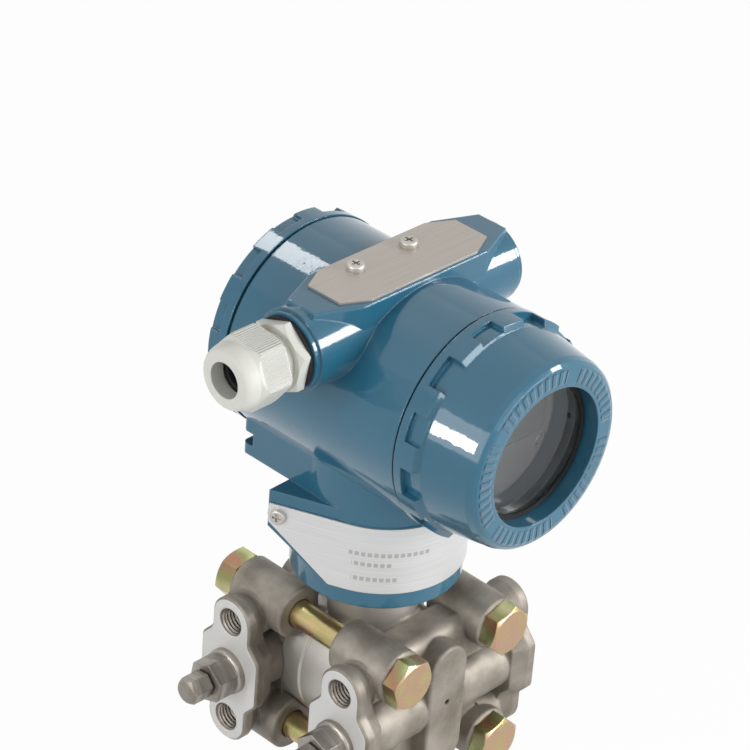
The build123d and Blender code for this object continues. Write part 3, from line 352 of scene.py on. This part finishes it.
def turned_steel():
    """Pale turned steel, half matt."""
    material, tree, shader = new_material("turned_steel")
    place = object_place(tree)
    finish_surface(tree, shader, place, ((0.52, 0.495, 0.46), (0.45, 0.425, 0.39)), (0.36, 0.44), 60.0,
                   (1500.0, 300.0, 0.3, 0.00001))
    shader.inputs["Metallic"].default_value = 0.6
    return material


def dark_steel():
    """Darker steel of the vents and the threads, with its grain drawn out in rings round the X axis."""
    material, tree, shader = new_material("dark_steel")
    place = object_place(tree, (8, 1, 1))
    finish_surface(tree, shader, place, ((0.38, 0.355, 0.32), (0.22, 0.198, 0.17)), (0.3, 0.46), 70.0,
                   (1200.0, 400.0, 0.4, 0.00005))
    shader.inputs["Metallic"].default_value = 1.0
    return material


def sheet_steel():
    """Brushed sheet: fine lines along the plate and round the tag, with plain dashes on the tag."""
    material, tree, shader = new_material("sheet_steel")
    x, y, z = object_axes(tree)
    plate = maths(tree, "GREATER_THAN", z, plate_from_z)
    tag = maths(tree, "SUBTRACT", 1.0, plate)
    lines = maths(tree, "ADD", maths(tree, "MULTIPLY", plate, y), maths(tree, "MULTIPLY", tag, z))
    place = tree.nodes.new("ShaderNodeCombineXYZ")
    link(tree, x, place.inputs[0])
    link(tree, y, place.inputs[1])
    link(tree, maths(tree, "MULTIPLY", lines, 60.0), place.inputs[2])
    sheet_colour, _ = finish_surface(tree, shader, place.outputs["Vector"],
                                     ((0.66, 0.665, 0.66), (0.6, 0.605, 0.6)), (0.36, 0.46), 30.0,
                                     (45.0, 18.0, 0.3, 0.000006), edge=0.0002)
    angle = maths(tree, "ARCTAN2", maths(tree, "SUBTRACT", x, neck_x), maths(tree, "MULTIPLY", y, -1.0))
    arc = maths(tree, "MULTIPLY", angle, tag_r)
    dash = between(tree, maths(tree, "FRACT", maths(tree, "DIVIDE", arc, tag_dash_pitch)), 0.2, 0.8, 0.06)
    rows = None
    for height, start, end in tag_rows:
        level = between(tree, z, height - tag_row_half_height, height + tag_row_half_height, 0.0002)
        row = maths(tree, "MULTIPLY", level, between(tree, arc, start, end, 0.0001))
        rows = row if rows is None else maths(tree, "MAXIMUM", rows, row)
    marks = maths(tree, "MULTIPLY", maths(tree, "MULTIPLY", rows, dash), tag)
    warm = colour_mix(tree, plate, sheet_colour, (0.68, 0.62, 0.56), blend_type="MULTIPLY")
    dark_share = maths(tree, "MULTIPLY", marks, tag_dash_strength)
    marked = colour_mix(tree, dark_share, warm, (0.25, 0.23, 0.21))
    link(tree, marked, shader.inputs["Base Color"])
    shader.inputs["Metallic"].default_value = 0.6
    return material


def yellow_zinc():
    """Yellow zinc film: the flats of a hexagon differ in tint, the faces and rods go from gold to pink."""
    material, tree, shader = new_material("yellow_zinc")
    place = object_place(tree)
    finish_surface(tree, shader, place, ((0.45, 0.4, 0.29), (0.35, 0.31, 0.2)), (0.22, 0.34),
                   90.0, (1500.0, 500.0, 0.5, 0.00004), edge=0.0005)
    x, y, z = object_axes(tree)
    across = maths(tree, "SUBTRACT", maths(tree, "ABSOLUTE", maths(tree, "SUBTRACT", x, neck_x)), bolt_x)
    up = maths(tree, "SUBTRACT", maths(tree, "ABSOLUTE", z), bolt_z)
    off_axis, turn = round_axis(tree, across, up)
    film = node(tree, "ShaderNodeTexNoise", in_Scale=55.0, in_Detail=1.5, in_Distortion=0.5)
    link(tree, place, film.inputs["Vector"])
    flats = maths(tree, "FRACT", maths(tree, "ADD", maths(tree, "MULTIPLY", turn, 3.0),
                                       maths(tree, "MULTIPLY", film.outputs["Fac"], 1.6)))
    side_tint = tint_ramp(tree, flats, ((0.0, (0.33, 0.17, 0.11)), (0.2, (0.25, 0.27, 0.11)),
                                        (0.42, (0.4, 0.43, 0.21)), (0.6, (0.5, 0.44, 0.26)),
                                        (0.8, (0.25, 0.27, 0.11)), (1.0, (0.33, 0.17, 0.11))))
    face_tint = tint_ramp(tree, film.outputs["Fac"],
                          ((0.3, (0.4, 0.37, 0.16)), (0.42, (0.48, 0.37, 0.18)),
                           (0.54, (0.5, 0.32, 0.22)), (0.66, (0.46, 0.41, 0.18))))
    on_flat = maths(tree, "MULTIPLY", maths(tree, "GREATER_THAN", off_axis, bolt_flats_r),
                    maths(tree, "GREATER_THAN", y, bolt_face_y + bolt_face_depth))
    link(tree, colour_mix(tree, on_flat, face_tint, side_tint), shader.inputs["Base Color"])
    shader.inputs["Metallic"].default_value = 0.9
    return material


def white_nylon():
    """Off-white nylon, with fine ribs along the flats of the gland nut."""
    material, tree, shader = new_material("white_nylon")
    place = object_place(tree)
    _, normal = finish_surface(tree, shader, place, ((0.7, 0.7, 0.65), (0.66, 0.66, 0.61)), (0.38, 0.46),
                               60.0, (1500.0, 400.0, 0.5, 0.00004), edge=0.0006)
    x, y, z = object_axes(tree)
    turn = maths(tree, "ARCTAN2", maths(tree, "SUBTRACT", z, tube_z), y)
    rib = maths(tree, "SINE", maths(tree, "MULTIPLY", turn, gland_nut_rib_count))
    ribs = maths(tree, "MULTIPLY", rib, between(tree, x, *gland_nut_ribs, 0.0003))
    relief(tree, shader, normal, ribs, gland_nut_rib_height)
    shader.inputs["Subsurface Weight"].default_value = 0.05
    shader.inputs["Subsurface Radius"].default_value = (0.002, 0.002, 0.0015)
    return material


def black_rubber():
    """Matt black rubber of the cover seals, the gland's washer and bush, and the window's gasket."""
    material, tree, shader = new_material("black_rubber")
    place = object_place(tree)
    finish_surface(tree, shader, place, ((0.018, 0.018, 0.019), (0.03, 0.03, 0.031)), (0.55, 0.7), 80.0,
                   (2500.0, 500.0, 0.4, 0.00008), edge=0.0)
    shader.inputs["Specular IOR Level"].default_value = 0.15
    return material


def seal_polymer():
    """Off-white plastic of the process seals."""
    material, tree, shader = new_material("seal_polymer")
    place = object_place(tree)
    finish_surface(tree, shader, place, ((0.75, 0.74, 0.7), (0.68, 0.67, 0.62)), (0.4, 0.5), 60.0,
                   (1500.0, 400.0, 0.5, 0.00003), edge=0.0)
    return material


def dark_plastic():
    """Dark grey moulding."""
    material, tree, shader = new_material("dark_plastic")
    place = object_place(tree)
    finish_surface(tree, shader, place, ((0.09, 0.092, 0.095), (0.11, 0.112, 0.114)), (0.4, 0.55), 60.0,
                   (2000.0, 500.0, 0.4, 0.00006), edge=0.0003)
    return material


def panel_face():
    """Dark, even face of the display, behind the window."""
    material, tree, shader = new_material("panel_face")
    place = object_place(tree)
    finish_surface(tree, shader, place, ((0.085, 0.09, 0.087), (0.1, 0.105, 0.101)), (0.35, 0.45), 30.0,
                   (300.0, 60.0, 0.4, 0.000004), edge=0.0)
    shader.inputs["Specular IOR Level"].default_value = 0.15
    return material


def board_green():
    """Green circuit board."""
    material, tree, shader = new_material("board_green")
    place = object_place(tree)
    finish_surface(tree, shader, place, ((0.025, 0.11, 0.05), (0.035, 0.14, 0.065)), (0.35, 0.5), 200.0,
                   (2500.0, 900.0, 0.5, 0.00005), edge=0.0)
    return material


def nickel_brass():
    """Warm nickel plate on brass."""
    material, tree, shader = new_material("nickel_brass")
    place = object_place(tree)
    finish_surface(tree, shader, place, ((0.62, 0.58, 0.48), (0.5, 0.46, 0.38)), (0.22, 0.34), 120.0,
                   (1500.0, 500.0, 0.5, 0.00003), edge=0.0002)
    shader.inputs["Metallic"].default_value = 1.0
    return material


def window_pane():
    """Clear pane with a faint change of tint."""
    material, tree, shader = new_material("window_pane")
    place = object_place(tree)
    finish_surface(tree, shader, place, ((0.86, 0.89, 0.9), (0.82, 0.86, 0.88)), (0.0, 0.0), 40.0,
                   (60.0, 20.0, 0.5, 0.000002), edge=0.0)
    shader.inputs["Transmission Weight"].default_value = 1.0
    shader.inputs["IOR"].default_value = 1.47
    return material


FINISHES = (blue_enamel, cast_steel, turned_steel, dark_steel, sheet_steel, yellow_zinc, white_nylon,
            black_rubber, seal_polymer, dark_plastic, panel_face, board_green, nickel_brass, window_pane)
materials = {make.__name__: make() for make in FINISHES}


def dress_frame():
    """Each CAD node takes the material of its slot in the record."""
    for part in frame["record"]["subparts"]:
        piece = frame["nodes"][part["node"]]
        piece.data.materials.clear()
        piece.data.materials.append(materials[part["material_slot"]])


def bore_thread(name, x_face, x_end, y_axis, z_axis, radius):
    """Thread in a bore along X, seen from inside.

    At a share s of the length and an angle a round the bore, x goes evenly from the mouth to the end. The
    radius is the bore's less a small gap and less the thread's depth times a triangle wave, whose phase is x
    over the pitch plus or minus a over a full turn, so that the crests form a helix. The depth fades in and
    out over half a turn at each end."""
    turns = abs(x_end - x_face) / thread_pitch
    rows = int(turns * thread_rows_per_turn) + 1
    steps = thread_steps
    share, angle = np.meshgrid(np.linspace(0, 1, rows), np.linspace(0, 2 * np.pi, steps + 1), indexing="ij")
    phase = share * turns + np.sign(x_face - x_end) * angle / (2 * np.pi)
    wave = 1 - np.abs(2 * (phase % 1.0) - 1)
    fade = np.clip(np.minimum(share, 1 - share) * turns * 2, 0, 1)
    reach = radius - thread_wall_gap - thread_depth * wave * fade
    points = np.stack([x_face + (x_end - x_face) * share, y_axis + reach * np.cos(angle),
                       z_axis + reach * np.sin(angle)], axis=-1).reshape(-1, 3)
    first = (np.arange(rows - 1)[:, None] * (steps + 1) + np.arange(steps)[None, :]).reshape(-1)
    quads = np.stack([first, first + 1, first + steps + 2, first + steps + 1], axis=1)
    if x_end > x_face:
        quads = quads[:, ::-1]
    mesh = bpy.data.meshes.new(name)
    mesh.from_pydata(points.tolist(), [], quads.tolist())
    mesh.update()
    piece = bpy.data.objects.new(name, mesh)
    bpy.context.scene.collection.objects.link(piece)
    mesh.materials.append(materials["dark_steel"])
    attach(piece, "transmitter")


def flange_threads():
    """Threads of the tapped holes in the pads of both flanges."""
    vent_x = neck_x - pad_face
    process_x = neck_x + pad_face
    for side, y_axis in (("front", -port_y), ("rear", port_y)):
        for place, z_axis in (("upper", tapped_z), ("lower", -tapped_z)):
            bore_thread(f"{side}_vent_{place}_thread", vent_x + thread_start, vent_x + thread_end,
                        y_axis, z_axis, vent_side_hole_r)
            bore_thread(f"{side}_process_{place}_thread", process_x - thread_start, process_x - thread_end,
                        y_axis, z_axis, process_hole_r)


def photo_camera():
    """Camera at the photograph's angle: right, up and back axes from azimuth, elevation and roll."""
    a = math.radians(camera_azimuth)
    e = math.radians(camera_elevation)
    r = math.radians(camera_roll)
    back = Vector((-math.sin(a) * math.cos(e), -math.cos(a) * math.cos(e), math.sin(e)))
    right = Vector((math.cos(a), -math.sin(a), 0))
    up = back.cross(right)
    turn = Matrix((right * math.cos(r) + up * math.sin(r), up * math.cos(r) - right * math.sin(r), back))
    data = bpy.data.cameras.new("photo_camera")
    data.lens = camera_lens
    data.sensor_width = camera_sensor
    data.clip_start = 0.05
    data.clip_end = 20.0
    camera = bpy.data.objects.new("photo_camera", data)
    bpy.context.scene.collection.objects.link(camera)
    place = turn.transposed() @ -camera_offset + Vector((neck_x, 0, 0))
    camera.matrix_world = Matrix.Translation(place) @ turn.transposed().to_4x4()
    bpy.context.scene.camera = camera


def area_lamp(name, place, aim, size, power):
    """Soft rectangular lamp that points at aim."""
    data = bpy.data.lights.new(name, "AREA")
    data.shape = "RECTANGLE"
    data.size, data.size_y = size
    data.energy = power
    lamp = bpy.data.objects.new(name, data)
    lamp.location = place
    lamp.rotation_euler = (Vector(aim) - Vector(place)).to_track_quat("-Z", "Y").to_euler()
    bpy.context.scene.collection.objects.link(lamp)


def backdrop_rays(tree):
    """One for rays that meet the white background: from the camera, a reflection or through glass."""
    path = tree.nodes.new("ShaderNodeLightPath")
    seen = maths(tree, "MAXIMUM", path.outputs["Is Camera Ray"], path.outputs["Is Glossy Ray"])
    return maths(tree, "MAXIMUM", seen, path.outputs["Is Transmission Ray"])


def studio():
    """World that is white to the eye and in reflections but a dim light, and plain soft lamps."""
    world = bpy.data.worlds.new("studio")
    bpy.context.scene.world = world
    world.use_nodes = True
    tree = world.node_tree
    tree.nodes.clear()
    output = tree.nodes.new("ShaderNodeOutputWorld")
    light = node(tree, "ShaderNodeBackground", in_Color=(1, 1, 1, 1), in_Strength=world_light)
    white = node(tree, "ShaderNodeBackground", in_Color=(1, 1, 1, 1), in_Strength=1.0)
    mix = tree.nodes.new("ShaderNodeMixShader")
    link(tree, backdrop_rays(tree), mix.inputs["Fac"])
    link(tree, light.outputs["Background"], mix.inputs[1])
    link(tree, white.outputs["Background"], mix.inputs[2])
    link(tree, mix.outputs["Shader"], output.inputs["Surface"])
    middle = (neck_x, 0, lamp_aim_z)
    area_lamp("left_window", (-1.0, 0.225, 0.33), (-0.074, -0.063, 0.136), (0.06, 0.2), 1.3)
    area_lamp("left_soft", (-1.2, -0.05, 0.45), middle, (0.9, 0.7), 6.0)
    area_lamp("overhead", (-0.2, 0.3, 1.4), middle, (3.0, 2.4), 6.0)
    area_lamp("rear_strip", (-0.04, 0.64, 0.93), (-0.058, 0.033, 0.157), (0.3, 0.07), 0.7)
    area_lamp("front_right", (0.6, -0.7, 0.46), middle, (0.3, 0.3), 5.5)
    area_lamp("fill", (-0.35, -0.95, 0.75), middle, (1.0, 0.8), 2.0)
    area_lamp("front_low", (0.3, -1.15, 0.3), middle, (0.7, 0.5), 7.0)


def floor():
    """Pale floor that reads as white to the eye and keeps a trace of the object's shadow."""
    mesh = bpy.data.meshes.new("floor")
    corners = [(x * floor_half, y * floor_half, floor_z) for x, y in ((-1, -1), (1, -1), (1, 1), (-1, 1))]
    mesh.from_pydata(corners, [], [(0, 1, 2, 3)])
    piece = bpy.data.objects.new("floor", mesh)
    bpy.context.scene.collection.objects.link(piece)
    material, tree, shader = new_material("floor_white")
    shader.inputs["Roughness"].default_value = 0.9
    shader.inputs["Base Color"].default_value = (0.6, 0.6, 0.6, 1)
    glow = node(tree, "ShaderNodeEmission", in_Color=(1, 1, 1, 1), in_Strength=1.0)
    mix = tree.nodes.new("ShaderNodeMixShader")
    link(tree, maths(tree, "MULTIPLY", backdrop_rays(tree), floor_white_share), mix.inputs["Fac"])
    link(tree, shader.outputs["BSDF"], mix.inputs[1])
    link(tree, glow.outputs["Emission"], mix.inputs[2])
    link(tree, mix.outputs["Shader"], tree.nodes["Material Output"].inputs["Surface"])
    mesh.materials.append(material)


dress_frame()
flange_threads()
photo_camera()
studio()
floor()
bpy.context.scene.view_settings.view_transform = "Standard"
